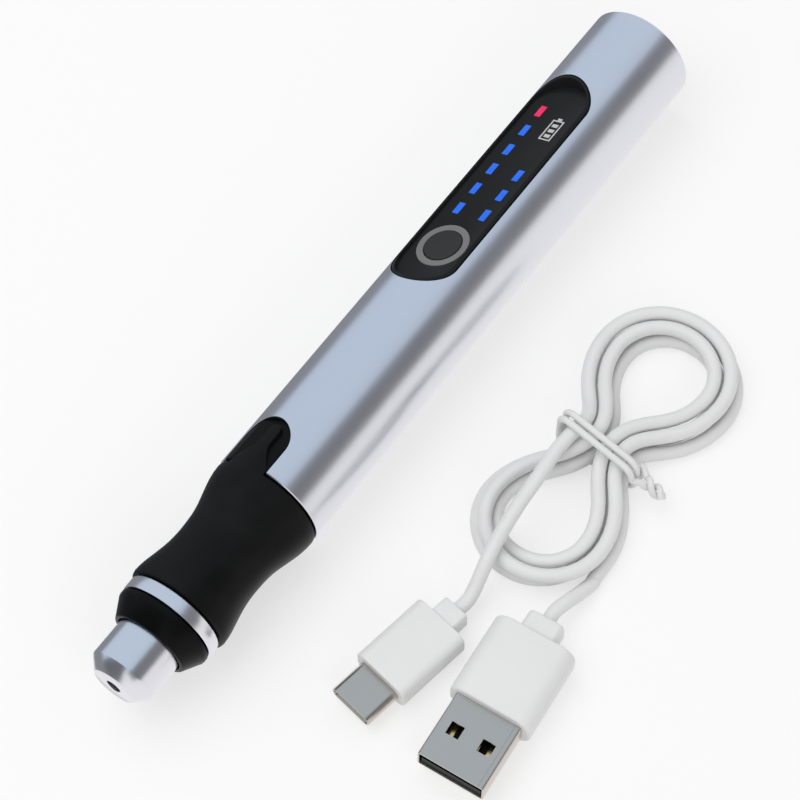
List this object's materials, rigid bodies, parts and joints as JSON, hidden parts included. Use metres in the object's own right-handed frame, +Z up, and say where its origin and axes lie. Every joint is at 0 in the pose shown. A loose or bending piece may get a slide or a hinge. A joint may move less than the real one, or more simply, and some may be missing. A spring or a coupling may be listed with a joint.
{
  "type": "electric engraving pen",
  "caption": "Slim cordless engraving pen: metal tube barrel with flat control panel, waisted rubber grip and screw chuck nose, with its wound charging lead lying beside it.",
  "frame": {"origin": "bottom centre of the pen, on the table it lies on", "axes": "+X along the pen from nose to rear, +Z up; the charging lead lies on the -Y side"},
  "size_m": [0.1534, 0.0667, 0.02],
  "materials": {
    "anodised": "satin anodised",
    "nose_metal": "satin",
    "steel": "machined",
    "brass": "machined",
    "winding": "wound and varnished",
    "magnet": "bonded",
    "rubber": "soft matt",
    "black_plastic": "fine matt",
    "panel_black": "gloss",
    "ring_grey": "matt",
    "button_black": "satin",
    "blue_light": "lit translucent",
    "red_light": "lit translucent",
    "board_green": "coated",
    "cell_wrap": "shrink wrap",
    "lead_white": "smooth",
    "plug_metal": "plated"
  },
  "bodies": {
    "pen": {"barrel_tube": "anodised", "grip_sleeve": "rubber", "trim_ring": "nose_metal", "nose_collar": "black_plastic", "dust_seal": "rubber", "front_bearing_outer_ring": "steel", "rear_bearing_outer_ring": "steel", "front_housing": "black_plastic", "motor_can": "steel", "motor_end_cap": "black_plastic", "motor_magnet": "magnet", "motor_terminal_left": "brass", "motor_terminal_right": "brass", "panel_window": "panel_black", "light_guide": "blue_light", "red_light_guide": "red_light", "button_ring": "ring_grey", "tact_switch": "steel", "chassis_tray": "black_plastic", "battery_cell": "cell_wrap", "circuit_board": "board_green", "board_screw_left": "steel", "board_screw_right": "steel", "end_cap": "black_plastic", "charge_board": "board_green", "usb_socket_shell": "steel", "usb_socket_contacts": "black_plastic", "cable_hank": "lead_white", "cable_tie": "lead_white", "cable_lead_c": "lead_white", "cable_lead_a": "lead_white", "usb_c_grip": "lead_white", "usb_c_shell": "plug_metal", "usb_c_contacts": "black_plastic", "usb_a_grip": "lead_white", "usb_a_shell": "plug_metal", "usb_a_contacts": "black_plastic"},
    "spindle": {"spindle": "steel", "bearing_spacer": "brass", "spindle_circlip": "steel", "shaft_coupling": "brass", "front_bearing_inner_ring": "steel", "front_bearing_cage": "steel", "rear_bearing_inner_ring": "steel", "rear_bearing_cage": "steel", "motor_armature": "winding", "motor_shaft": "steel"},
    "collet": {"collet": "steel"},
    "chuck_nut": {"chuck_nut": "nose_metal"},
    "power_button": {"power_button": "button_black", "switch_plunger": "black_plastic"}
  },
  "joints": [
    {"name": "spindle_spin", "type": "hinge", "parent": "pen", "child": "spindle", "pos_m": [-0.06, 0, 0.01], "axis": [1, 0, 0], "continuous": true},
    {"name": "collet_draw", "type": "slide", "parent": "spindle", "child": "collet", "axis": [-1, 0, 0], "range_m": [0, 0.0005]},
    {"name": "chuck_nut_turn", "type": "hinge", "parent": "collet", "child": "chuck_nut", "pos_m": [-0.07, 0, 0.01], "axis": [-1, 0, 0], "range_deg": [0, 360]},
    {"name": "power_button_press", "type": "slide", "parent": "pen", "child": "power_button", "axis": [0, -0.3955, -0.9184], "range_m": [0, 0.00025], "stiffness_N_per_m": 2000}
  ],
  "couplings": [
    {"joint": "chuck_nut_turn", "follows": "collet_draw", "rad_per_m": 12566}
  ]
}
